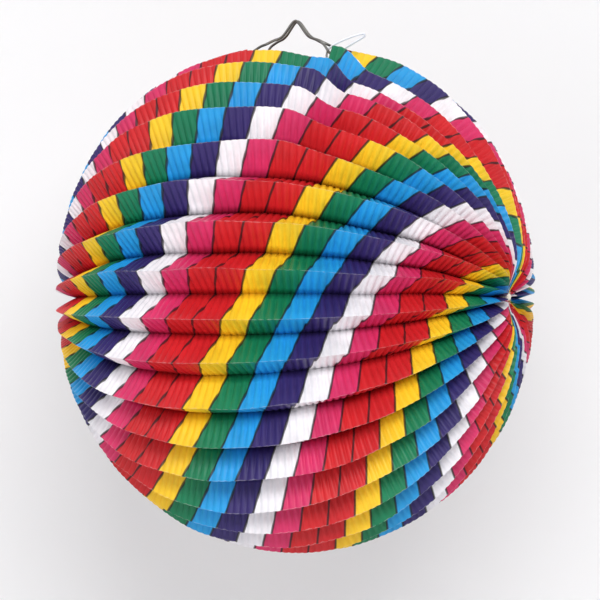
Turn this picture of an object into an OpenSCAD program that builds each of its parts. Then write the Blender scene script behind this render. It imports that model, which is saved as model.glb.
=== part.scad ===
// Accordion paper lantern: a ball of pleated printed paper tied at two poles,
// hung from a bent steel wire, with a candle holder inside at the bottom.
// Millimetres. +Z up, X along the two poles, -Y to the front.
// Origin: underside of the hanger wire's peak, where the lantern hangs.

/* [Ball] */
// Diameter across the outer folds
ball_d = 250; // [180:1:320]
// Length along the pole axis, over the outer folds
ball_w = 232; // [160:1:310]
// Height of the hanging point above the ball's centre
hang_h = 136; // [110:1:180]

/* [Pleats] */
// Depth of each pleat, from outer fold to inner fold
pleat_depth = 15; // [8:0.5:25]
// Depth of each pleat at the poles
pole_depth = 9; // [6:0.5:15]
// Paper thickness
paper_t = 0.2; // [0.1:0.05:0.4]
// Gap left where two neighbouring pleats share an inner fold
fold_gap = 0.2; // [0.1:0.05:0.6]
// Length of the cut-out through the top pleats, along the poles
mouth_l = 43; // [30:1:80]

/* [Pole gathers] */
// Radius of the tied bunch of folds at each pole
gather_r = 10; // [6:0.5:16]
// Space between the bunch and the ends of the pleats
gather_gap = 1.5; // [0.8:0.1:4]
// How far the outer folds dip in at the pole
dimple_depth = 8; // [2:0.5:14]
// Radius over which they dip
dimple_r = 14; // [8:1:24]
// Thickness of the bunch
gather_t = 6; // [3:0.5:9]
// Diameter of the knot
knot_d = 4.2; // [2.5:0.1:7]
// Thread diameter
thread_d = 0.8; // [0.4:0.1:1.5]
// Radius of the thread's loop through the inner folds
thread_loop_r = 7; // [4:0.5:9]

/* [Hanger] */
// Wire diameter
wire_d = 1.3; // [0.8:0.1:2.5]
// Half length of the wire's closed loop along the poles
hanger_half_l = 30; // [27:0.5:40]
// Half width of the loop at its ends, front to back
hanger_half_w = 10.5; // [6:0.5:12]
// Half width at the peak, where the strands come together
peak_half_w = 1.6; // [1:0.1:6]
// Radius of the corners at the ends
corner_r = 3; // [2:0.5:6]
// Height of the shoulders above the ball's centre
shoulder_h = 129; // [126:0.5:134]
// Distance of the shoulders from the middle
shoulder_x = 7; // [4:0.5:12]
// Height where the wire enters the paper, above the ball's centre
enter_h = 119.4; // [112:0.2:122]
// Height of the ends that pass through the paper
hook_h = 114.5; // [108:0.5:118]
// Clearance of the wire in its holes in the paper
hole_gap = 0.4; // [0.2:0.1:1]

/* [Tie loop] */
// Cord thickness of the white loop
tie_d = 1.0; // [0.6:0.1:1.6]
// How far it stands out past the wire's end
tie_out = 8; // [4:0.5:14]

/* [Candle holder] */
// Inner diameter of the candle cup
cup_bore_d = 13; // [10:0.5:20]
// Cup wall
cup_wall = 0.6; // [0.4:0.1:1.2]
// Cup height
cup_h = 18; // [10:1:30]
// Base disc diameter
base_d = 22; // [18:1:26]
// Sheet thickness of the base and the clamp strip
sheet_t = 0.5; // [0.4:0.1:1]
// Height of the holder wire's flat span above the ball's bottom
span_rise = 22; // [18:1:40]
// Half width of the holder wire under the base
span_half_w = 7; // [5:0.5:9]
// Rivet diameter
rivet_d = 3; // [2:0.1:4]
// Diameter of the rivet's heads
rivet_head_d = 5; // [4:0.1:6]
// Height of the rivet's heads
rivet_head_h = 0.9; // [0.5:0.1:1.5]

/* [Hidden] */
pleats = 18;
pitch = 180 / pleats;
R = ball_d / 2;
half_w = ball_w / 2;
valley_r = R - pleat_depth;
valley_half_w = half_w - pole_depth;
centre = [0, 0, -hang_h];
end_r = gather_r + gather_gap;
end_a = acos(end_r / R);
valley_end_a = acos(end_r / valley_r);
mouth_a = asin(mouth_l / 2 / half_w);
valley_mouth_a = asin(mouth_l / 2 / valley_half_w);
whole_steps = 24;
side_steps = 11;
wire_sides = 10;
wire_rings = 128;
tie_steps = 5;
tie_sides = 8;
dish_r = rivet_head_d / 2 + 0.6;
dish_depth = rivet_head_h + 0.3;
lip_h = 1;
lip_out = 0.6;
rim_h = 2.5;
strip_w = 8;
strip_half_l = span_half_w + wire_d;
gather_x = half_w - pleat_depth;
knot_x = gather_x + gather_t + 1.2;
base_z = -R + span_rise;
slack = 0.05;
$fn = 64;

paper_a = [0.86, 0.20, 0.24];
paper_b = [0.20, 0.45, 0.75];
paper_c = [0.93, 0.92, 0.90];
steel = [0.62, 0.63, 0.65];
white = [0.95, 0.95, 0.93];

// Direction across the pole axis: 0 is the front, 90 the top, 180 the back
function across(a) = [0, -cos(a), sin(a)];
// A point of an outer fold, by its angle along the fold and its angle round the poles
function ridge(l, a) =
  [half_w * sin(l) - sign(l) * dimple_depth * exp(-pow(R * cos(l) / dimple_r, 2)), 0, 0]
  + R * cos(l) * across(a);
// The middle between a pleat's two inner folds
function middle(l, a) = [valley_half_w * sin(l), 0, 0] + valley_r * cos(l) * cos(pitch / 2) * across(a);
// Half the distance between them, less the gap
function half_open(l) = valley_r * cos(l) * sin(pitch / 2) - fold_gap / 2;
// How much smaller the inside of the fold is than its outside
function inner_scale(l) =
  1 - paper_t / cos(atan(valley_r * sin(pitch / 2) / pleat_depth)) / half_open(l);
// The six corners of a pleat's section
function section(lr, lv, a) = let(
    m = middle(lv, a),
    o = ridge(lr, a) - m,
    t = half_open(lv) * across(a + 90),
    s = inner_scale(lv)
  ) [m + t, m + o, m - t, m - s * t, m + s * o, m + s * t];
function unit(v) = v / norm(v);
function flat(list) = [for (row = list) for (item = row) item];
// The two triangles of each side of a sweep, ring to ring. Sides from back_side on are split
// along the other diagonal, so that the inside of a fold runs parallel to its outside
function skin(rings, n, closed, back_side) = flat([for (i = [0 : rings - (closed ? 1 : 2)]) for (j = [0 : n - 1]) let(
    a = i * n + j,
    b = i * n + (j + 1) % n,
    c = ((i + 1) % rings) * n + (j + 1) % n,
    d = ((i + 1) % rings) * n + j
  ) j < back_side ? [[a, b, c], [a, c, d]] : [[a, b, d], [b, c, d]]]);
// The four triangles that close a pleat's end
function fold_cap(first, turn) = [for (t = [[0, 1, 4], [0, 4, 5], [1, 2, 3], [1, 3, 4]])
  turn ? [first + t[2], first + t[1], first + t[0]] : [first + t[0], first + t[1], first + t[2]]];

// One strip of pleat, between two angles along the outer and the inner fold
module strip(a, lr0, lr1, lv0, lv1, steps) {
  points = flat([for (i = [0 : steps])
    section(lr0 + (lr1 - lr0) * i / steps, lv0 + (lv1 - lv0) * i / steps, a)]);
  faces = concat(
    [for (f = skin(steps + 1, 6, false, 3)) [f[2], f[1], f[0]]],
    fold_cap(0, false),
    fold_cap(steps * 6, true)
  );
  translate(centre) polyhedron(points, faces, convexity = 6);
}

// A whole pleat, from pole to pole
module pleat(a) {
  strip(a, -end_a, end_a, -valley_end_a, valley_end_a, whole_steps);
}

// The two holes that a wire's ends pass through, at a height above the centre
module wire_holes(h) {
  for (side = [-1, 1]) translate(centre + [side * hanger_half_l, 0, h]) rotate([90, 0, 0])
    cylinder(d = wire_d + 2 * hole_gap, h = 2 * (hanger_half_w - 1), center = true);
}

// A top pleat, with the mouth cut through its middle
module cut_pleat(a) {
  difference() {
    union() {
      strip(a, -end_a, -mouth_a, -valley_end_a, -valley_mouth_a, side_steps);
      strip(a, mouth_a, end_a, valley_mouth_a, valley_end_a, side_steps);
    }
    wire_holes(hook_h);
  }
}

// A bottom pleat, with the holes for the candle holder's wire
module bottom_pleat(a) {
  difference() {
    pleat(a);
    wire_holes(-hook_h);
  }
}

// The bunch of folds at a pole, round the pole axis, with a hole for the thread
module gather(side) {
  translate(centre + [side * gather_x, 0, 0]) rotate([0, side * 90, 0]) rotate_extrude() polygon([
    [thread_d / 2 + slack, 0],
    [gather_r, 0],
    [gather_r, gather_t * 0.75],
    [gather_r * 0.75, gather_t],
    [thread_d / 2 + slack, gather_t * 0.7]
  ]);
}

// The thread at a pole: the loop through the inner folds, its tail and the knot outside
module pole_thread(side) {
  translate(centre + [side * gather_x, 0, 0]) rotate([0, side * 90, 0]) {
    translate([0, 0, -thread_d]) rotate_extrude() translate([thread_loop_r, 0]) circle(d = thread_d, $fn = 24);
    translate([0, 0, -thread_d]) rotate([90, 0, 0]) cylinder(d = thread_d * 0.8, h = thread_loop_r * 2, center = true);
    translate([0, 0, -thread_d]) cylinder(d = thread_d, h = gather_t + thread_d + 1);
    translate([0, 0, knot_x - gather_x]) sphere(d = knot_d);
  }
}

// Height of a hanger strand above the ball's centre, by its distance from the middle
function hanger_h(x) = lookup(abs(x), [
  [0, hang_h + wire_d / 2],
  [1.5, hang_h + wire_d / 2 - 0.7],
  [shoulder_x - 1.2, shoulder_h + 1],
  [shoulder_x + 0.6, shoulder_h - 0.6],
  [shoulder_x + 4, shoulder_h - 1.8],
  [mouth_l / 2 - 5, enter_h + 4.9],
  [mouth_l / 2 - 2.5, enter_h + 2.4],
  [mouth_l / 2 - 0.5, enter_h],
  [hanger_half_l - 3, hook_h + 1.6],
  [hanger_half_l, hook_h]
]);
// How far a hanger strand lies from the middle, front to back, as a share of its half width
function hanger_spread(x) = lookup(abs(x), [
  [0, peak_half_w],
  [shoulder_x, peak_half_w + 0.6],
  [mouth_l / 2 - 7, peak_half_w + 2.6],
  [mouth_l / 2 - 1.5, hanger_half_w],
  [hanger_half_l, hanger_half_w]
]) / hanger_half_w;
// Height of a holder strand above the ball's centre
function holder_h(x) = lookup(abs(x), [
  [0, base_z],
  [base_d / 2 + 1, base_z],
  [base_d / 2 + 4, base_z - 1.5],
  [hanger_half_l - 3, 2 - hook_h],
  [hanger_half_l, -hook_h]
]);
// How far a holder strand lies from the middle, as a share of its half width
function holder_spread(x) = lookup(abs(x), [
  [0, span_half_w],
  [base_d / 2, span_half_w],
  [mouth_l / 2 - 2, hanger_half_w],
  [hanger_half_l, hanger_half_w]
]) / hanger_half_w;

// A closed round wire along a route of points that never runs along the axis given
module closed_wire(route, d, sides, axis) {
  n = len(route);
  points = flat([for (i = [0 : n - 1]) let(
      along = unit(route[(i + 1) % n] - route[(i + n - 1) % n]),
      side = unit(cross(along, axis)),
      up = cross(side, along)
    ) [for (k = [0 : sides - 1]) route[i] + d / 2 * (cos(360 * k / sides) * side + sin(360 * k / sides) * up)]]);
  translate(centre) polyhedron(points, skin(n, sides, true, sides), convexity = 8);
}

// The wire's loop seen from above: a rectangle with round corners, by the distance round it
side_l = 2 * (hanger_half_l - corner_r);
end_l = 2 * (hanger_half_w - corner_r);
bend_l = PI * corner_r / 2;
quarter_turns = [0, side_l + bend_l, side_l + end_l + 2 * bend_l, 2 * side_l + end_l + 3 * bend_l];
lap = 2 * (side_l + end_l) + 4 * bend_l;
function turned(p, q) = q == 0 ? p : turned([-p[1], p[0]], q - 1);
function leg(s, half_a, half_b) = s < 2 * half_a
  ? [s - half_a, -half_b - corner_r]
  : let(v = (s - 2 * half_a) / corner_r * 180 / PI) [half_a + corner_r * sin(v), -half_b - corner_r * cos(v)];
function track(s) = let(
    q = s < quarter_turns[1] ? 0 : s < quarter_turns[2] ? 1 : s < quarter_turns[3] ? 2 : 3,
    t = s - quarter_turns[q]
  ) turned(q % 2 == 0 ? leg(t, side_l / 2, end_l / 2) : leg(t, end_l / 2, side_l / 2), q);
function loop_points() = [for (i = [0 : wire_rings - 1]) track(lap * (i + 0.5) / wire_rings)];

// The bent wire that the lantern hangs from
module hanger_wire() {
  route = [for (p = loop_points()) [p[0], p[1] * hanger_spread(p[0]), hanger_h(p[0])]];
  color(steel) closed_wire(route, wire_d, wire_sides, [0, 0, 1]);
}

// The candle holder's wire, hooked through the lowest pleats
module holder_wire() {
  route = [for (p = loop_points()) [p[0], p[1] * holder_spread(p[0]), holder_h(p[0])]];
  color(steel) closed_wire(route, wire_d, wire_sides, [0, 0, 1]);
}

// The white loop through the wire's right end: its bends, then a smooth curve through them
tie_bends = [
  [hanger_half_l - 15, -9, hook_h + 5],
  [hanger_half_l - 11, -11.5, hook_h + 8.5],
  [hanger_half_l - 6, -12.3, hook_h + 11.5],
  [hanger_half_l + 0.5, -10, hook_h + 13],
  [hanger_half_l + tie_out - 2, -6, hook_h + 14.6],
  [hanger_half_l + tie_out - 1.2, -5, hook_h + 13.4],
  [hanger_half_l + tie_out - 4.5, -2, hook_h + 10.4],
  [hanger_half_l + 2.7, 0.2, hook_h + 4],
  [hanger_half_l + 2.2, 0.2, hook_h],
  [hanger_half_l + 0.4, 0, hook_h - 2.1],
  [hanger_half_l - 3, -0.6, hook_h - 1.9],
  [hanger_half_l - 7.5, -2, hook_h + 0.3],
  [hanger_half_l - 14, -6, hook_h + 2.8]
];
function curve(p, i, t) = let(
    n = len(p),
    a = p[(i + n - 1) % n],
    b = p[i],
    c = p[(i + 1) % n],
    d = p[(i + 2) % n]
  ) b + 0.5 * t * (c - a + t * (2 * a - 5 * b + 4 * c - d + t * (3 * (b - c) + d - a)));
module tie_loop() {
  n = len(tie_bends);
  route = [for (i = [0 : n * tie_steps - 1]) curve(tie_bends, floor(i / tie_steps), (i % tie_steps) / tie_steps)];
  color(white) closed_wire(route, tie_d, tie_sides, [0, 1, 0]);
}

// The strip that clamps both strands of the wire to the base
module clamp_strip() {
  color(steel) difference() {
    translate(centre + [-strip_w / 2, -strip_half_l, base_z - wire_d / 2 - slack - sheet_t])
      cube([strip_w, 2 * strip_half_l, sheet_t]);
    translate(centre + [0, 0, base_z - 4]) cylinder(d = rivet_d + 2 * slack, h = 8);
  }
}

// The base disc under the cup, with a turned-up rim
module holder_base() {
  color(steel) translate(centre + [0, 0, base_z + wire_d / 2 + slack]) rotate_extrude() polygon([
    [rivet_d / 2 + slack, 0],
    [base_d / 2, 0],
    [base_d / 2, rim_h],
    [base_d / 2 - sheet_t, rim_h],
    [base_d / 2 - sheet_t, sheet_t],
    [rivet_d / 2 + slack, sheet_t]
  ]);
}

// The cup that the candle stands in: its floor is pressed down in the middle for the rivet's head
module candle_cup() {
  outer_r = cup_bore_d / 2 + cup_wall;
  color(steel) translate(centre + [0, 0, base_z + wire_d / 2 + 2 * slack + sheet_t]) rotate_extrude() polygon([
    [rivet_d / 2 + slack, 0],
    [dish_r + cup_wall, 0],
    [dish_r + cup_wall, dish_depth],
    [outer_r, dish_depth],
    [outer_r, cup_h - lip_h],
    [outer_r + lip_out, cup_h],
    [cup_bore_d / 2, cup_h],
    [cup_bore_d / 2, dish_depth + cup_wall],
    [dish_r, dish_depth + cup_wall],
    [dish_r, cup_wall],
    [rivet_d / 2 + slack, cup_wall]
  ]);
}

// The rivet through the cup, the base and the strip
module holder_rivet() {
  low = base_z - wire_d / 2 - 2 * slack - sheet_t;
  high = base_z + wire_d / 2 + 3 * slack + sheet_t + cup_wall;
  color(steel) translate(centre) {
    translate([0, 0, low - rivet_head_h]) cylinder(d = rivet_head_d, h = rivet_head_h);
    translate([0, 0, low - rivet_head_h / 2]) cylinder(d = rivet_d, h = high - low + rivet_head_h);
    translate([0, 0, high]) cylinder(d = rivet_head_d, h = rivet_head_h);
  }
}

module left_gather() {
  color(paper_c) gather(-1);
}

module right_gather() {
  color(paper_c) gather(1);
}

module left_pole_thread() {
  color(white) pole_thread(-1);
}

module right_pole_thread() {
  color(white) pole_thread(1);
}

module front_pleat_01() {
  color(paper_a) cut_pleat(90 - 0.5 * pitch);
}

module front_pleat_02() {
  color(paper_b) pleat(90 - 1.5 * pitch);
}

module front_pleat_03() {
  color(paper_a) pleat(90 - 2.5 * pitch);
}

module front_pleat_04() {
  color(paper_b) pleat(90 - 3.5 * pitch);
}

module front_pleat_05() {
  color(paper_a) pleat(90 - 4.5 * pitch);
}

module front_pleat_06() {
  color(paper_b) pleat(90 - 5.5 * pitch);
}

module front_pleat_07() {
  color(paper_a) pleat(90 - 6.5 * pitch);
}

module front_pleat_08() {
  color(paper_b) pleat(90 - 7.5 * pitch);
}

module front_pleat_09() {
  color(paper_a) pleat(90 - 8.5 * pitch);
}

module front_pleat_10() {
  color(paper_b) pleat(90 - 9.5 * pitch);
}

module front_pleat_11() {
  color(paper_a) pleat(90 - 10.5 * pitch);
}

module front_pleat_12() {
  color(paper_b) pleat(90 - 11.5 * pitch);
}

module front_pleat_13() {
  color(paper_a) pleat(90 - 12.5 * pitch);
}

module front_pleat_14() {
  color(paper_b) pleat(90 - 13.5 * pitch);
}

module front_pleat_15() {
  color(paper_a) pleat(90 - 14.5 * pitch);
}

module front_pleat_16() {
  color(paper_b) pleat(90 - 15.5 * pitch);
}

module front_pleat_17() {
  color(paper_a) pleat(90 - 16.5 * pitch);
}

module front_pleat_18() {
  color(paper_b) bottom_pleat(90 - 17.5 * pitch);
}

module back_pleat_01() {
  color(paper_a) cut_pleat(90 + 0.5 * pitch);
}

module back_pleat_02() {
  color(paper_b) pleat(90 + 1.5 * pitch);
}

module back_pleat_03() {
  color(paper_a) pleat(90 + 2.5 * pitch);
}

module back_pleat_04() {
  color(paper_b) pleat(90 + 3.5 * pitch);
}

module back_pleat_05() {
  color(paper_a) pleat(90 + 4.5 * pitch);
}

module back_pleat_06() {
  color(paper_b) pleat(90 + 5.5 * pitch);
}

module back_pleat_07() {
  color(paper_a) pleat(90 + 6.5 * pitch);
}

module back_pleat_08() {
  color(paper_b) pleat(90 + 7.5 * pitch);
}

module back_pleat_09() {
  color(paper_a) pleat(90 + 8.5 * pitch);
}

module back_pleat_10() {
  color(paper_b) pleat(90 + 9.5 * pitch);
}

module back_pleat_11() {
  color(paper_a) pleat(90 + 10.5 * pitch);
}

module back_pleat_12() {
  color(paper_b) pleat(90 + 11.5 * pitch);
}

module back_pleat_13() {
  color(paper_a) pleat(90 + 12.5 * pitch);
}

module back_pleat_14() {
  color(paper_b) pleat(90 + 13.5 * pitch);
}

module back_pleat_15() {
  color(paper_a) pleat(90 + 14.5 * pitch);
}

module back_pleat_16() {
  color(paper_b) pleat(90 + 15.5 * pitch);
}

module back_pleat_17() {
  color(paper_a) pleat(90 + 16.5 * pitch);
}

module back_pleat_18() {
  color(paper_b) bottom_pleat(90 + 17.5 * pitch);
}

front_pleat_01();
front_pleat_02();
front_pleat_03();
front_pleat_04();
front_pleat_05();
front_pleat_06();
front_pleat_07();
front_pleat_08();
front_pleat_09();
front_pleat_10();
front_pleat_11();
front_pleat_12();
front_pleat_13();
front_pleat_14();
front_pleat_15();
front_pleat_16();
front_pleat_17();
front_pleat_18();
back_pleat_01();
back_pleat_02();
back_pleat_03();
back_pleat_04();
back_pleat_05();
back_pleat_06();
back_pleat_07();
back_pleat_08();
back_pleat_09();
back_pleat_10();
back_pleat_11();
back_pleat_12();
back_pleat_13();
back_pleat_14();
back_pleat_15();
back_pleat_16();
back_pleat_17();
back_pleat_18();
left_gather();
right_gather();
left_pole_thread();
right_pole_thread();
hanger_wire();
tie_loop();
holder_wire();
clamp_strip();
holder_base();
candle_cup();
holder_rivet();
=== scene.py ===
import math

import bpy
import numpy as np
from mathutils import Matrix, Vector


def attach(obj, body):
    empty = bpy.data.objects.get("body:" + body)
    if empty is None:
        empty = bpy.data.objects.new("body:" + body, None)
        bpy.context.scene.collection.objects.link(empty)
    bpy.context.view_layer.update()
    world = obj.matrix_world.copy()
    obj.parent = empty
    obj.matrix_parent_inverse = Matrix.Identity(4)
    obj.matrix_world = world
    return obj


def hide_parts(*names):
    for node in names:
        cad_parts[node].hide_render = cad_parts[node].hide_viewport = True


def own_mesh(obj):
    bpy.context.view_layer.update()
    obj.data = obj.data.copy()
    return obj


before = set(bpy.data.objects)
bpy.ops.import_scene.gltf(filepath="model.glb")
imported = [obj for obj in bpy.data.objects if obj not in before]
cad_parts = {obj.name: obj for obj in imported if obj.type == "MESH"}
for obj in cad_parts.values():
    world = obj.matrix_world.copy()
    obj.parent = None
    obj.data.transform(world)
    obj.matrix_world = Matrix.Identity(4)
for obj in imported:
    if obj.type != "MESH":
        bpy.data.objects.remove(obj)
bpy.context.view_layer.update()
scene = bpy.context.scene

MM = 0.001
CENTRE = Vector((0, 0, -0.136))

# ---------------------------------------------------------------- camera
AZIMUTH, ELEVATION, DISTANCE = math.radians(19.5), math.radians(-1.1), 1.7
VIEW_WIDTH = 0.2955
target = CENTRE + Vector((0.0018, 0, -0.0008))
back = Vector((
    math.sin(AZIMUTH) * math.cos(ELEVATION),
    -math.cos(AZIMUTH) * math.cos(ELEVATION),
    math.sin(ELEVATION),
))
cam_data = bpy.data.cameras.new("camera")
camera = bpy.data.objects.new("camera", cam_data)
scene.collection.objects.link(camera)
camera.location = target + back * DISTANCE
camera.rotation_euler = (-back).to_track_quat("-Z", "Y").to_euler()
cam_data.sensor_width = 36
cam_data.lens = 36 * DISTANCE / VIEW_WIDTH
scene.camera = camera

# ---------------------------------------------------------------- materials


def node(tree, kind, inputs=None, **settings):
    made = tree.nodes.new(kind)
    for key, value in settings.items():
        setattr(made, key, value)
    for key, value in (inputs or {}).items():
        if isinstance(value, bpy.types.NodeSocket):
            tree.links.new(value, made.inputs[key])
        else:
            made.inputs[key].default_value = value
    return made


def maths(tree, operation, a, b=0.0, c=0.0, clamp=False):
    return node(tree, "ShaderNodeMath", {0: a, 1: b, 2: c}, operation=operation, use_clamp=clamp).outputs[0]


def smooth_under(tree, value, low, high):
    """1 where value is under low, 0 over high, smooth between."""
    made = node(tree, "ShaderNodeMapRange", {"Value": value, "From Min": low, "From Max": high,
                                             "To Min": 1.0, "To Max": 0.0})
    made.interpolation_type = "SMOOTHSTEP"
    return made.outputs["Result"]


def noise_of(tree, place, scale, detail):
    return node(tree, "ShaderNodeTexNoise", {"Vector": place, "Scale": scale, "Detail": detail}).outputs["Fac"]


def mix(tree, factor, a, b, blend="MIX"):
    made = node(tree, "ShaderNodeMix", data_type="RGBA", blend_type=blend)
    for socket, value in ((made.inputs[0], factor), (made.inputs[6], a), (made.inputs[7], b)):
        if isinstance(value, bpy.types.NodeSocket):
            tree.links.new(value, socket)
        else:
            socket.default_value = value
    return made.outputs[2]


def material(name, colour, roughness, metallic=0.0, specular=0.5):
    made = bpy.data.materials.new(name)
    made.use_nodes = True
    shader = made.node_tree.nodes["Principled BSDF"]
    shader.inputs["Base Color"].default_value = (*colour, 1)
    shader.inputs["Roughness"].default_value = roughness
    shader.inputs["Metallic"].default_value = metallic
    shader.inputs["Specular IOR Level"].default_value = specular
    return made, made.node_tree, shader


def linear(*rgb):
    """Linear values of a colour given as 0 to 255."""
    shares = [c / 255 for c in rgb]
    return tuple(c / 12.92 if c <= 0.04045 else ((c + 0.055) / 1.055) ** 2.4 for c in shares)


PRINT = (
    ("yellow", linear(250, 206, 42)),
    ("green", linear(20, 126, 86)),
    ("light blue", linear(38, 160, 226)),
    ("violet", linear(55, 42, 106)),
    ("white", linear(246, 243, 247)),
    ("pink", linear(214, 50, 104)),
    ("red", linear(207, 34, 41)),
    ("red again", linear(207, 34, 41)),
)


def print_ramp(tree, blocks):
    """The colour printed at a count of blocks along the pleat."""
    count = float(len(PRINT))
    turn = maths(tree, "DIVIDE", maths(tree, "FLOORED_MODULO", blocks, count), count)
    ramp = node(tree, "ShaderNodeValToRGB", {"Fac": turn})
    ramp.color_ramp.interpolation = "CONSTANT"
    stops = ramp.color_ramp.elements
    while len(stops) < len(PRINT):
        stops.new(0.5)
    for i, (_, colour) in enumerate(PRINT):
        stops[i].position = i / len(PRINT)
        stops[i].color = (*colour, 1)
    return ramp.outputs["Color"]


def printed_paper():
    made, tree, shader = material("printed paper", (0.8, 0.1, 0.1), roughness=0.46, specular=0.35)
    blocks = node(tree, "ShaderNodeAttribute", attribute_name="blocks").outputs["Fac"]
    across = node(tree, "ShaderNodeAttribute", attribute_name="across").outputs["Fac"]
    place = node(tree, "ShaderNodeTexCoord").outputs["Object"]
    wander = noise_of(tree, place, 260.0, 2.0)
    edge = maths(tree, "ADD", blocks, maths(tree, "MULTIPLY", maths(tree, "SUBTRACT", wander, 0.5), 0.014))
    print_colour = print_ramp(tree, edge)
    cloudy = noise_of(tree, place, 90.0, 4.0)
    tone = node(tree, "ShaderNodeMapRange", {"Value": cloudy, "From Min": 0.3, "From Max": 0.7,
                                             "To Min": 0.86, "To Max": 1.08}).outputs["Result"]
    grey = node(tree, "ShaderNodeCombineColor", {0: tone, 1: tone, 2: tone}).outputs[0]
    colour = mix(tree, 1.0, print_colour, grey, "MULTIPLY")
    # the dark line printed between two blocks
    in_block = maths(tree, "FRACT", maths(tree, "ADD", edge, 0.5))
    off = maths(tree, "ABSOLUTE", maths(tree, "SUBTRACT", in_block, 0.5))
    line = smooth_under(tree, off, 0.024, 0.058)
    dark = mix(tree, 0.88, colour, (0.012, 0.010, 0.012, 1))
    colour = mix(tree, line, colour, dark)
    # a painted highlight along the outer fold, together with the ink worn and cracked pale there
    fold_highlight_and_wear_noise = noise_of(tree, place, 420.0, 3.0)
    wide = maths(tree, "MULTIPLY", maths(tree, "SUBTRACT", fold_highlight_and_wear_noise, 0.36), 0.09, clamp=True)
    fold_highlight_and_wear = maths(tree, "MULTIPLY", maths(tree, "LESS_THAN", across, wide), 0.16)
    colour = mix(tree, fold_highlight_and_wear, colour, (0.82, 0.78, 0.78, 1))
    tree.links.new(colour, shader.inputs["Base Color"])
    grain = noise_of(tree, place, 1500.0, 3.0)
    bump = node(tree, "ShaderNodeBump", {"Height": grain, "Strength": 0.10, "Distance": 0.0003})
    tree.links.new(bump.outputs["Normal"], shader.inputs["Normal"])
    return made


def plain_paper():
    made, tree, shader = material("inside of the paper", linear(238, 226, 222), roughness=0.8, specular=0.2)
    blocks = node(tree, "ShaderNodeAttribute", attribute_name="blocks").outputs["Fac"]
    # the ink shows through faintly
    ink = mix(tree, 0.22, (*linear(240, 230, 224), 1), print_ramp(tree, blocks))
    tree.links.new(ink, shader.inputs["Base Color"])
    return made


def brushed(name, colour, roughness, scale):
    made, tree, shader = material(name, colour, roughness, 1.0)
    place = node(tree, "ShaderNodeTexCoord").outputs["Object"]
    noise = noise_of(tree, place, scale, 4.0)
    rough = node(tree, "ShaderNodeMapRange",
                 {"Value": noise, "To Min": roughness * 0.75, "To Max": roughness * 1.35})
    tree.links.new(rough.outputs["Result"], shader.inputs["Roughness"])
    tint = mix(tree, noise, (*[c * 0.8 for c in colour], 1), (*colour, 1))
    tree.links.new(tint, shader.inputs["Base Color"])
    return made


def thread_material():
    made, tree, shader = material("cotton thread", linear(236, 230, 214), roughness=0.85, specular=0.2)
    place = node(tree, "ShaderNodeTexCoord").outputs["Object"]
    wave = node(tree, "ShaderNodeTexWave", {"Vector": place, "Scale": 1400.0, "Distortion": 1.5})
    strands = wave.outputs["Fac"]
    bump = node(tree, "ShaderNodeBump", {"Height": strands, "Strength": 0.4, "Distance": 0.0001})
    tree.links.new(bump.outputs["Normal"], shader.inputs["Normal"])
    return made


PAPER, INSIDE = printed_paper(), plain_paper()
STEEL = brushed("steel wire", linear(128, 126, 122), 0.34, 500.0)
TIN = brushed("tinplate", linear(205, 204, 198), 0.30, 220.0)
THREAD = thread_material()
NYLON = material("white nylon", linear(240, 241, 246), roughness=0.4)[0]

# ---------------------------------------------------------------- mesh helpers


def make(name, points, faces, materials, smooth=True):
    mesh = bpy.data.meshes.new(name)
    mesh.from_pydata([tuple(p) for p in points], [], [tuple(int(i) for i in f) for f in faces])
    mesh.update()
    for m in materials:
        mesh.materials.append(m)
    if smooth:
        mesh.polygons.foreach_set("use_smooth", [True] * len(mesh.polygons))
    made = bpy.data.objects.new(name, mesh)
    scene.collection.objects.link(made)
    return made


def grid_faces(rows, columns, first=0, wrap_rows=False, wrap_columns=False):
    r, c = np.arange(rows - (not wrap_rows)), np.arange(columns - (not wrap_columns))
    r, c = np.meshgrid(r, c, indexing="ij")
    r, c = r.ravel(), c.ravel()
    r2, c2 = (r + 1) % rows, (c + 1) % columns
    return np.stack([r * columns + c, r * columns + c2, r2 * columns + c2, r2 * columns + c], 1) + first


def tube(name, route, radius, mat, sides=16, closed=True, axis=(0, 0, 1)):
    """A round wire along a route, radius a number or one for each point."""
    route = np.array(route, float)
    n = len(route)
    if closed:
        along = np.roll(route, -1, 0) - np.roll(route, 1, 0)
    else:
        along = np.gradient(route, axis=0)
    along /= np.linalg.norm(along, axis=1)[:, None]
    side = np.cross(along, np.array(axis, float))
    side /= np.linalg.norm(side, axis=1)[:, None]
    up = np.cross(side, along)
    a = np.linspace(0, 2 * math.pi, sides, endpoint=False)
    r = np.broadcast_to(np.array(radius, float), (n,))[:, None, None]
    ring = np.cos(a)[None, :, None] * side[:, None] + np.sin(a)[None, :, None] * up[:, None]
    points = (route[:, None] + r * ring).reshape(-1, 3)
    faces = [list(f) for f in grid_faces(n, sides, wrap_rows=closed, wrap_columns=True)]
    if not closed:
        faces += [list(range(sides))[::-1], [(n - 1) * sides + k for k in range(sides)]]
    return make(name, points, faces, [mat])


def lathe(name, profile, origin, mat, steps=96, smooth_angle=35):
    """A closed profile of (radius, height) turned about an upright axis."""
    profile = np.array(profile, float)
    a = np.linspace(0, 2 * math.pi, steps, endpoint=False)
    points = np.stack([
        profile[None, :, 0] * np.cos(a)[:, None],
        profile[None, :, 0] * np.sin(a)[:, None],
        np.broadcast_to(profile[None, :, 1], (steps, len(profile))),
    ], 2).reshape(-1, 3) * MM + np.array(origin)
    made = make(name, points, grid_faces(steps, len(profile), wrap_rows=True, wrap_columns=True), [mat])
    made.data.set_sharp_from_angle(angle=math.radians(smooth_angle))
    return made


def smooth_steps(pairs, x):
    """Height at x of a line through the pairs, eased at its bends."""
    xs, ys = np.array(pairs, float).T
    width = 0.9
    return sum(np.interp(np.abs(x) + d, xs, ys) * w
               for d, w in ((-width, 0.15), (-width / 2, 0.2), (0, 0.3), (width / 2, 0.2), (width, 0.15)))


# ---------------------------------------------------------------- the pleated paper

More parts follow.
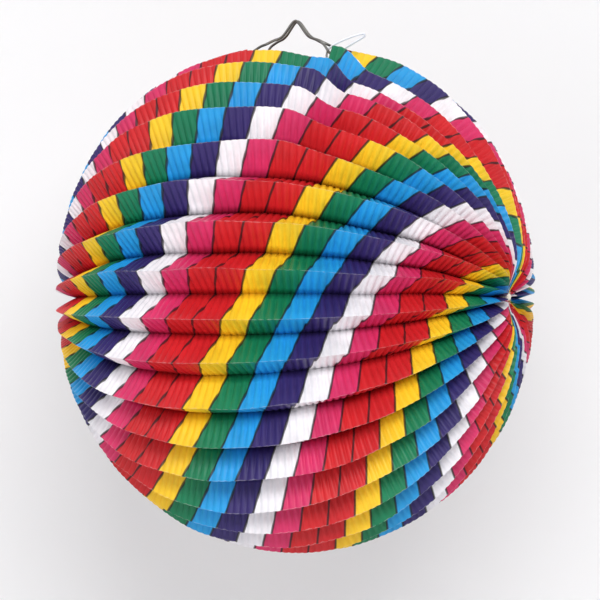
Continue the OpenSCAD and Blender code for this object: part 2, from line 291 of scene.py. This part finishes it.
R, HALF_W, DEPTH = 125.0, 116.0, 15.0
VALLEY_R, VALLEY_HALF_W = R - DEPTH, HALF_W - 9.0
PLEATS, PITCH = 18, 10.0
END_RHO = 1.7
BLOCK = 14.02
FLUTE = BLOCK / 4
FLUTE_STEPS = 6
ROWS = 4
CRIMP = 0.62
CREST, GROOVE, GROOVE_SHARPNESS = 0.45, 1.45, 2.2
CRIMP_AT_RIDGE, CRIMP_GAIN_INWARD, CRIMP_MID_PANEL = 0.25, 0.45, 1.3
FIRST_YELLOW = 18.9
SHIFT, BACK_SHIFT = 11.9, 0.54
MOUTH = 21.5
PAPER_T = 0.16

rng = np.random.default_rng(7)


def lengthwise(half_w, r, dip, dip_r, power=2.0):
    """Samples of one fold from pole to pole: its length, its place along the axis, its distance from the axis."""
    end = math.acos((END_RHO / r) ** (power / 2))
    l = np.linspace(-end, end, 4001)
    rho = r * np.cos(l) ** (2 / power)
    x = np.sign(l) * (half_w * np.abs(np.sin(l)) ** (2 / power) - dip * np.exp(-((rho / dip_r) ** 2)))
    step = np.hypot(np.diff(x), np.diff(rho))
    s = np.concatenate([[0], np.cumsum(step)])
    return s - s[-1] / 2, x, rho


RIDGE, VALLEY = (HALF_W, R, 8.0, 14.0), (VALLEY_HALF_W, VALLEY_R, 3.5, 10.0)
RIDGE_LINE = lengthwise(*RIDGE)
RIDGE_L = RIDGE_LINE[0][-1]


def wobble(count, size, shortest, longest):
    """A smooth random line for each of count folds, as a function of the length along it."""
    lengths = rng.uniform(shortest, longest, (count, 5))
    phases = rng.uniform(0, 2 * math.pi, (count, 5))
    sizes = rng.uniform(0.4, 1.0, (count, 5)) * size / 2.2
    return lambda line, s: sum(
        sizes[line, i] * np.sin(2 * math.pi * s / lengths[line, i] + phases[line, i]) for i in range(5)
    )


ridge_out = wobble(36, 0.55, 25, 160)
ridge_turn = wobble(36, 0.75, 35, 220)
valley_out = wobble(36, 0.5, 30, 150)
valley_turn = wobble(36, 0.45, 35, 200)
ridge_tilt = rng.normal(0, 0.22, 36)
flute_phase = wobble(36, 0.35, 40, 200)


# each fold in front of the mouth: how far it sags, and where along the axis, and over what width
SAGS = {
    ("ridge", 1): (4.0, 20, 20),
    ("ridge", 2): (3.0, 20, 22),
    ("ridge", 3): (1.6, 20, 24),
    ("ridge", 19): (4.0, 4, 26),
    ("valley", 2): (2.0, 20, 22),
    ("valley", 3): (1.2, 20, 24),
}
# right of the mouth the front folds have slipped down: sunk by millimetres, turned by degrees
SLIPS = {
    ("valley", 0): (0.0, 2.5), ("ridge", 0): (8.0, 8.0),
    ("valley", 1): (4.5, 11.0), ("ridge", 1): (6.0, 11.0),
    ("valley", 2): (3.0, 9.5), ("ridge", 2): (3.6, 7.5),
    ("valley", 3): (1.4, 6.5), ("ridge", 3): (1.6, 5.0),
    ("valley", 4): (0.4, 4.0), ("ridge", 4): (0.6, 3.0),
    ("valley", 5): (0.0, 2.0), ("ridge", 5): (0.0, 1.2),
}
SLIP_FROM, SLIP_TO = 25.0, 48.0
FULLNESS, FULLNESS_ABOVE = 2.05, 0.13  # 2 is an ellipse
CALM_R = 30.0  # the unevenness fades out this near the poles


def fold_line(kind, line, angle, t):
    """Points of an outer or inner fold at the shares t of its length, with the paper's own unevenness."""
    # the ball hangs a little fuller than an ellipse, most of all in its upper half
    power = FULLNESS + FULLNESS_ABOVE * max(0.0, math.sin(math.radians(angle)))
    s0, x0, rho0 = lengthwise(*(RIDGE if kind == "ridge" else VALLEY), power)
    s = t * s0[-1]
    x, rho = np.interp(s, s0, x0), np.interp(s, s0, rho0)
    fade = np.clip(rho / CALM_R, 0, 1) ** 0.5
    out, turn = (ridge_out, ridge_turn) if kind == "ridge" else (valley_out, valley_turn)
    tilt = ridge_tilt[line] if kind == "ridge" else 0.0
    radial = out(line, s) * fade
    sideways = turn(line, s) * fade
    a = math.radians(angle + tilt)
    radius_dir = np.array([0, -math.cos(a), math.sin(a)])
    side_dir = np.array([0, math.sin(a), math.cos(a)])
    rho = rho + radial * np.clip(rho / VALLEY_R, 0, 1)
    # the folds in front of the mouth sag where the cut has freed them
    depth, middle, width = SAGS.get((kind, line), (0.0, 0.0, 1.0))
    rho = rho - depth * np.exp(-(((x - middle) / width) ** 2))
    sunk, slipped = SLIPS.get((kind, line), (0.0, 0.0))
    ramp = np.clip((x - SLIP_FROM) / (SLIP_TO - SLIP_FROM), 0, 1)
    ramp = ramp * ramp * (3 - 2 * ramp)
    rho = rho - sunk * ramp * np.clip(rho / R, 0, 1)
    sideways = sideways - np.radians(slipped) * ramp * rho
    x = x + radial * np.clip(np.abs(x) / VALLEY_R, 0, 1) ** 2 * np.sign(x) * 0.6
    return np.stack([x, 0 * x, 0 * x], 1) + rho[:, None] * radius_dir + sideways[:, None] * side_dir


def flute(s, line):
    """The crimp's wave: rounded crests with narrow grooves between them."""
    phase = 2 * math.pi * (s + flute_phase(line, s)) / FLUTE
    return CREST - GROOVE * (0.5 + 0.5 * np.cos(phase)) ** GROOVE_SHARPNESS


def pleat(name, side, k):
    angle = 90 - (k - 0.5) * PITCH if side == "front" else 90 + (k - 0.5) * PITCH
    ring_line = k - 1 if side == "front" else 18 + k - 1
    # the inner folds above and below, each shared with the next pleat
    upper = (k - 1) if side == "front" else (0 if k == 1 else 18 + k - 1)
    lower = k if side == "front" else (18 if k == 18 else 18 + k)
    sign = 1 if side == "front" else -1
    spans = [(-1.0, 1.0)]
    if k == 1:
        cut = np.interp(MOUTH, RIDGE_LINE[1], RIDGE_LINE[0]) / RIDGE_L
        spans = [(-1.0, -cut), (cut, 1.0)]
    points, faces, blocks, across, first = [], [], [], [], 0
    for low, high in spans:
        n = int(round((high - low) * RIDGE_L / FLUTE * FLUTE_STEPS)) + 1
        t = np.linspace(low, high, n)
        s = t * RIDGE_L
        ridge = fold_line("ridge", ring_line, angle, t)
        folds = []
        for line, at in ((upper, angle + sign * PITCH / 2), (lower, angle - sign * PITCH / 2)):
            folds.append(fold_line("valley", line, at, t))
        rows = []
        for w in [*np.linspace(-1, 0, ROWS, endpoint=False), *np.linspace(0, 1, ROWS + 1)]:
            # w is -1 at the lower inner fold, 0 at the outer one, 1 at the upper
            inner = folds[0] if w > 0 else folds[1]
            share = abs(w)
            base = ridge * (1 - share) + inner * share
            wave = flute(s, upper if w > 0 else lower)
            rho = np.hypot(base[:, 1], base[:, 2])
            fade = np.clip(rho / 60, 0.2, 1)
            outward = np.stack([np.sin(t * math.pi / 2) * 0.9, base[:, 1] / rho, base[:, 2] / rho], 1)
            # square to the panel in its middle, straight out at the folds it shares
            radians = math.radians(angle)
            lean = (1 if w > 0 else -1) * sign * np.array([0, math.sin(radians), math.cos(radians)])
            square = 0.81 * lean + 0.59 * outward
            amount = wave * fade * CRIMP
            base = base + outward * (amount * (CRIMP_AT_RIDGE + CRIMP_GAIN_INWARD * share ** 2))[:, None]
            base = base + square * (amount * CRIMP_MID_PANEL * math.sin(math.pi * share))[:, None]
            rows.append(base)
            # the print runs on from the front round the bottom to the back
            up = 9.5 - k + w / 2 if side == "front" else k - 27.5 - w / 2
            shift = SHIFT * (up - 0.5) + min(0.0, up + 9) * BACK_SHIFT
            blocks.append((s - FIRST_YELLOW - shift) / BLOCK)
            across.append(np.full(n, share))
        grid = grid_faces(len(rows), n, first)
        faces.append(grid if side == "front" else grid[:, ::-1])
        points.append(np.concatenate(rows))
        first += n * len(rows)
    points = np.concatenate(points) * MM + np.array(CENTRE)
    made = make(name, points, np.concatenate(faces), [PAPER, INSIDE])
    for label, values in (("blocks", blocks), ("across", across)):
        attribute = made.data.attributes.new(label, "FLOAT", "POINT")
        attribute.data.foreach_set("value", np.concatenate(values).astype(np.float32))
    # keep the folds crisp
    sharp_rows(made, [len(r) for r in blocks], spans)
    solid = made.modifiers.new("paper", "SOLIDIFY")
    solid.thickness = PAPER_T * MM
    solid.offset = -1
    solid.material_offset = 1
    solid.use_rim = True
    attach(made, f"{side}_fold_{k:02d}")
    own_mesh(made)
    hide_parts(f"{side}_pleat_{k:02d}")
    return made


def sharp_rows(made, lengths, spans):
    """Marks the edges along the outer fold sharp."""
    rows = 2 * ROWS + 1
    first, marks = 0, set()
    for i in range(len(spans)):
        n = lengths[i * rows]
        start = first + ROWS * n
        marks.update((j, j + 1) for j in range(start, start + n - 1))
        first += rows * n
    attribute = made.data.attributes.new("sharp_edge", "BOOLEAN", "EDGE")
    attribute.data.foreach_set("value", [tuple(sorted(e.vertices)) in marks for e in made.data.edges])


for side in ("front", "back"):
    for k in range(1, PLEATS + 1):
        pleat(f"{side}_paper_{k:02d}", side, k)

# ---------------------------------------------------------------- hanger wire and candle holder wire

HALF_L, HALF_WIDE, CORNER, WIRE = 30.0, 10.5, 3.0, 0.65
HANG_H, HOOK_H, BASE_Z = 136.0, 114.5, -103.0


def racetrack(count):
    """Points of a rectangle with round corners, evenly spaced round it."""
    legs = []
    for i, (cx, cy) in enumerate(((1, -1), (1, 1), (-1, 1), (-1, -1))):
        centre = np.array([cx * (HALF_L - CORNER), cy * (HALF_WIDE - CORNER)])
        turn = np.radians(np.linspace(-90, 0, 12) + 90 * i)
        legs.append(centre + CORNER * np.stack([np.cos(turn), np.sin(turn)], 1))
    outline = np.concatenate(legs + [legs[0][:1]])
    run = np.concatenate([[0], np.cumsum(np.linalg.norm(np.diff(outline, axis=0), axis=1))])
    at = np.linspace(0, run[-1], count, endpoint=False)
    return np.stack([np.interp(at, run, outline[:, i]) for i in (0, 1)], 1)


def wire(name, heights, widths, body, replaced):
    plan = racetrack(420)
    x = plan[:, 0]
    y = plan[:, 1] * smooth_steps(widths, x) / HALF_WIDE
    z = smooth_steps(heights, x)
    route = np.stack([x, y, z], 1) * MM + np.array(CENTRE)
    made = tube(name, route, WIRE * MM, STEEL, sides=16)
    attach(made, body)
    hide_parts(replaced)
    return made


# pairs of a distance from the middle along the axis, and the wire's height or half width there
HANGER_HEIGHTS = [(0, HANG_H + WIRE + 0.35), (1.5, HANG_H + WIRE - 0.6), (5.8, 130), (7.6, 128.4), (11, 127.2),
                  (16.5, 124.3), (19, 121.8), (21, 119.4), (27, 116.1), (30, HOOK_H), (34, HOOK_H)]
HANGER_WIDTHS = [(0, 1.6), (7, 2.2), (14.5, 4.2), (20, 10.5), (34, 10.5)]
HOLDER_HEIGHTS = [(0, BASE_Z), (12, BASE_Z), (15, BASE_Z - 1.5), (27, 2 - HOOK_H), (30, -HOOK_H),
                  (34, -HOOK_H)]
HOLDER_WIDTHS = [(0, 7), (11, 7), (23, 10.5), (34, 10.5)]
wire("hanger_bent_wire", HANGER_HEIGHTS, HANGER_WIDTHS, "hanger", "hanger_wire")
wire("holder_bent_wire", HOLDER_HEIGHTS, HOLDER_WIDTHS, "back_fold_18", "holder_wire")


def round_curve(points, steps, closed=True):
    """A smooth curve through the points."""
    p = np.array(points, float)
    n = len(p)
    spots = []
    for i in range(n if closed else n - 1):
        a, b, c, d = (p[(i + j) % n] if closed else p[min(max(i + j, 0), n - 1)] for j in (-1, 0, 1, 2))
        t = np.linspace(0, 1, steps, endpoint=False)[:, None]
        spots.append(b + 0.5 * t * (c - a + t * (2 * a - 5 * b + 4 * c - d + t * (3 * (b - c) + d - a))))
    return np.concatenate(spots)


TIE = [(17.6, -5.5, 118.4), (19.2, -8, 121.3), (22.5, -9, 123.6), (27, -8.5, 125.8), (32, -7, 127.8),
       (36, -5.2, 129), (36.9, -4.4, 128), (34, -3.8, 126.4), (29.5, -3.2, 124.2), (25.5, -2.2, 121.8),
       (24.5, -1, 118.5), (27.5, 0, 116.6), (31.2, 0.1, 116.5), (32.6, 0.1, 114.3), (30.8, 0, 112.3),
       (27, -0.8, 112.6), (22, -2.5, 114.8), (18.6, -4, 116.6)]
TIE_R = 0.58
tie_route = round_curve(TIE, 16) * MM + np.array(CENTRE)
tie = tube("white_tie_loop", tie_route, TIE_R * MM, NYLON, sides=12, axis=(0, 1, 0))
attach(tie, "hanger")
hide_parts("tie_loop")

# ---------------------------------------------------------------- pole threads and gathers


def pole_parts(label, side):
    tip = np.array(CENTRE) / MM
    a = np.linspace(0, 2 * math.pi, 120, endpoint=False)
    # the knot: a thread passed three times over itself
    knot = np.stack([
        0.42 * np.sin(3 * a),
        (np.cos(a) + 1.55 * np.cos(2 * a)) * 0.62,
        (np.sin(a) - 1.55 * np.sin(2 * a)) * 0.62,
    ], 1) + np.array([side * 108.2, 0, 0])
    made = tube(f"{label}_knot", (knot + tip) * MM, 0.62 * MM, THREAD, sides=10, axis=(1, 0.02, 0.03))
    made_core = make(f"{label}_knot_core", *ball(1.75, 1.5), [THREAD])
    made_core.location = (tip + np.array([side * 108.2, 0, 0])) * MM
    ring = np.stack([0 * a + side * 100.2, 7 * np.cos(a), 7 * np.sin(a)], 1)
    loop = tube(f"{label}_inner_thread", (ring + tip) * MM, 0.4 * MM, THREAD, sides=10, axis=(1, 0, 0))
    bars = []
    for turn in (0.3, 1.9):
        r = np.linspace(-7, 7, 24)
        bar = np.stack([0 * r + side * (100.0 - 0.4 * turn), r * math.cos(turn), r * math.sin(turn)], 1)
        bars.append(tube(f"{label}_thread_across_{int(turn * 10)}", (bar + tip) * MM, 0.32 * MM, THREAD,
                         sides=8, closed=False, axis=(1, 0.01, 0)))
    r = np.linspace(99.8, 107.5, 12)
    stem = np.stack([side * r, 0 * r, 0 * r], 1)
    bars.append(tube(f"{label}_thread_stem", (stem + tip) * MM, 0.4 * MM, THREAD, sides=8, closed=False))
    for piece in (made, made_core, loop, *bars):
        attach(piece, "poles")
    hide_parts(f"{label}_pole_thread")
    # the bunch of inner folds behind the knot, one fold for each pleat
    steps = 36 * 8
    turn = np.linspace(0, 2 * math.pi, steps, endpoint=False)
    rows, points = 7, []
    for i in range(rows):
        share = i / (rows - 1)
        rho = 1.2 + 6.6 * share
        wave = 0.5 - 0.5 * np.cos(36 * turn)
        r = rho * (1 - 0.10 * share * wave)
        x = side * (103.6 - 2.2 * share + 1.5 * share * (wave - 0.5))
        points.append(np.stack([x + 0 * turn, r * np.cos(turn), r * np.sin(turn)], 1))
    bunch = make(f"{label}_tied_folds", (np.concatenate(points) + tip) * MM,
                 grid_faces(rows, steps, wrap_columns=True), [INSIDE])
    white = bunch.data.attributes.new("blocks", "FLOAT", "POINT")
    white.data.foreach_set("value", np.full(rows * steps, 4.5, np.float32))
    bunch.data.attributes.new("across", "FLOAT", "POINT")
    thick = bunch.modifiers.new("paper", "SOLIDIFY")
    thick.thickness = 0.3 * MM
    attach(bunch, "poles")
    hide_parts(f"{label}_gather")


def ball(radius, thick, rings=16, steps=24):
    """Points and faces of a ball flattened along X, in metres."""
    points = [(radius * thick / 2 * MM, 0, 0)]
    for i in range(1, rings):
        b = math.pi * i / rings
        for j in range(steps):
            a = 2 * math.pi * j / steps
            points.append((thick * math.cos(b) * MM, radius * math.sin(b) * math.cos(a) * MM,
                           radius * math.sin(b) * math.sin(a) * MM))
    points[0] = (thick * MM, 0, 0)
    points.append((-thick * MM, 0, 0))
    faces = [(0, 1 + j, 1 + (j + 1) % steps) for j in range(steps)]
    for i in range(rings - 2):
        for j in range(steps):
            a, b = 1 + i * steps + j, 1 + i * steps + (j + 1) % steps
            faces.append((a, a + steps, b + steps, b))
    last = 1 + (rings - 2) * steps
    faces += [(len(points) - 1, last + (j + 1) % steps, last + j) for j in range(steps)]
    return points, faces


pole_parts("left", -1)
pole_parts("right", 1)

# ---------------------------------------------------------------- candle holder

SEAT = BASE_Z + WIRE + 0.05
base_origin = np.array(CENTRE) + np.array([0, 0, SEAT * MM])
base = lathe("holder_pan", [
    (1.55, 0), (7.6, 0), (8.2, 0.35), (9.0, 0.35), (9.5, 0), (10.3, 0.1), (10.85, 0.7), (11.0, 1.8),
    (11.15, 2.35),
    (10.85, 2.6), (10.55, 2.3), (10.45, 1.8), (10.3, 1.0), (9.9, 0.6), (9.4, 0.5), (8.9, 0.85), (8.2, 0.85),
    (7.7, 0.5), (1.55, 0.5)], base_origin, TIN)
cup = lathe("holder_cup", [
    (1.55, 0.55), (3.4, 0.55), (3.65, 0.75), (3.65, 1.6), (6.5, 1.75), (6.95, 2.0), (7.1, 2.5), (7.1, 16.9),
    (7.3, 17.5), (7.75, 17.9), (7.75, 18.3), (7.3, 18.5), (6.75, 18.2), (6.5, 17.6), (6.5, 2.6), (6.3, 2.35),
    (3.15, 2.3), (3.1, 1.15), (1.55, 1.15)], base_origin, TIN)
rivet = lathe("holder_rivet_head", [
    (0.01, -2.95), (2.0, -2.95), (2.6, -2.65), (2.75, -2.2), (2.7, -1.98), (1.5, -1.95), (1.5, 1.2), (2.45, 1.22),
    (2.4, 1.7), (1.9, 2.05), (0.9, 2.2), (0.01, 2.2)], base_origin, TIN, steps=48)


def strip():
    """The strip under the wire, its ends bent up round both strands."""
    reach = WIRE + 0.3
    turn = np.radians(np.linspace(-90, 35, 12))
    bend = [(7.0 + reach * math.cos(a), -WIRE + reach * math.sin(a)) for a in turn]
    flat = [(y, -WIRE - reach) for y in np.linspace(-6.5, 6.5, 27)]
    section = [(-y, z) for y, z in bend[::-1]] + flat + bend
    n = len(section)
    points, faces = [], []
    for x in (-4, 4):
        points += [(x, y, z) for y, z in section]
    faces = [(i, i + 1, n + i + 1, n + i) for i in range(n - 1)]
    made = make("holder_clamp", np.array(points) * MM + base_origin, faces, [TIN])
    thick = made.modifiers.new("sheet", "SOLIDIFY")
    thick.thickness = 0.4 * MM
    thick.offset = 0
    return made


clamp = strip()
for piece, replaced in (
    (base, "holder_base"),
    (cup, "candle_cup"),
    (rivet, "holder_rivet"),
    (clamp, "clamp_strip"),
):
    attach(piece, "back_fold_18")
    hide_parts(replaced)

# ---------------------------------------------------------------- wall, floor and lights


def seen(right, toward, up):
    """A place given from the ball's centre as the camera sees it: right, towards the camera, up."""
    return CENTRE + Vector((
        right * math.cos(AZIMUTH) + toward * math.sin(AZIMUTH),
        right * math.sin(AZIMUTH) - toward * math.cos(AZIMUTH),
        up,
    ))


def backdrop():
    wall, floor, bend, half = -0.25, -0.50, 0.30, 2.2
    profile = [(wall, 1.9)]
    profile += [(wall + bend - bend * math.cos(a), floor + bend - bend * math.sin(a))
                for a in np.radians(np.linspace(0, 90, 24))]
    profile.append((2.6, floor))
    n = len(profile)
    points = [seen(x, y, z) for x in (half, -half) for y, z in profile]
    wall_paint, tree, shader = material("white wall", (0.90, 0.90, 0.91), roughness=0.9, specular=0.1)
    # clear from behind, so that the lantern's back can be looked at
    behind = node(tree, "ShaderNodeNewGeometry").outputs["Backfacing"]
    clear = node(tree, "ShaderNodeBsdfTransparent").outputs[0]
    surface = node(tree, "ShaderNodeMixShader", {0: behind, 1: shader.outputs[0], 2: clear}).outputs[0]
    tree.links.new(surface, tree.nodes["Material Output"].inputs["Surface"])
    made = make("backdrop", points, [(i, n + i, n + i + 1, i + 1) for i in range(n - 1)], [wall_paint])


def area_light(name, place, size, power, aim=CENTRE):
    data = bpy.data.lights.new(name, "AREA")
    data.shape = "RECTANGLE"
    data.size, data.size_y = size
    data.energy = power
    made = bpy.data.objects.new(name, data)
    scene.collection.objects.link(made)
    made.location = place
    made.rotation_euler = (Vector(aim) - Vector(place)).to_track_quat("-Z", "Y").to_euler()
    return made


backdrop()
area_light("key", seen(0.12, 1.45, 0.50), (0.7, 0.5), 13.5)
area_light("fill", seen(-0.9, 1.2, 0.05), (0.8, 0.8), 3)
area_light("top", seen(0.0, 0.05, 1.25), (1.4, 0.8), 2.5)
for side in (-1, 1):
    aim = seen(side * 0.3, -0.25, 0)
    area_light(f"wall wash {side}", seen(side * 0.9, 0.0, 0.6), (0.5, 0.8), 2.0, aim)
world = bpy.data.worlds.new("world")
scene.world = world
world.use_nodes = True
world.node_tree.nodes["Background"].inputs["Color"].default_value = (1, 1, 1, 1)
world.node_tree.nodes["Background"].inputs["Strength"].default_value = 0.36
scene.view_settings.view_transform = "Standard"
